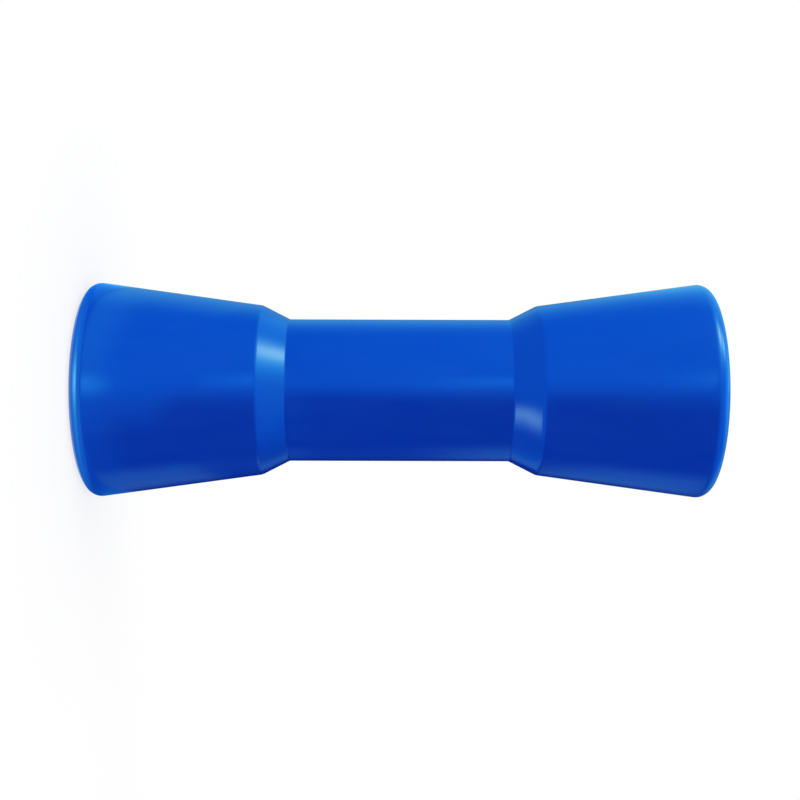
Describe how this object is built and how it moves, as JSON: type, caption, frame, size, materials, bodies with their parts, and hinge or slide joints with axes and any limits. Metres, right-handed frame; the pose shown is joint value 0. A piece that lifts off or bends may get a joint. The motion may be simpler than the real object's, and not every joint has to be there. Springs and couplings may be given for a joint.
{
  "type": "boat trailer roller",
  "caption": "Moulded keel roller for a boat trailer, with a narrow waist between flared ends and a plain spindle bore along its axis.",
  "frame": {"origin": "middle of the lower end face, on the spindle's axis", "axes": "+Z along the spindle's axis, up from the end that the roller stands on; X and Y are square to it, and the roller is the same all round"},
  "size_m": [0.0692, 0.0692, 0.2],
  "materials": {
    "blue_plastic": "gloss"
  },
  "bodies": {
    "root": {"roller": "blue_plastic"}
  },
  "joints": []
}
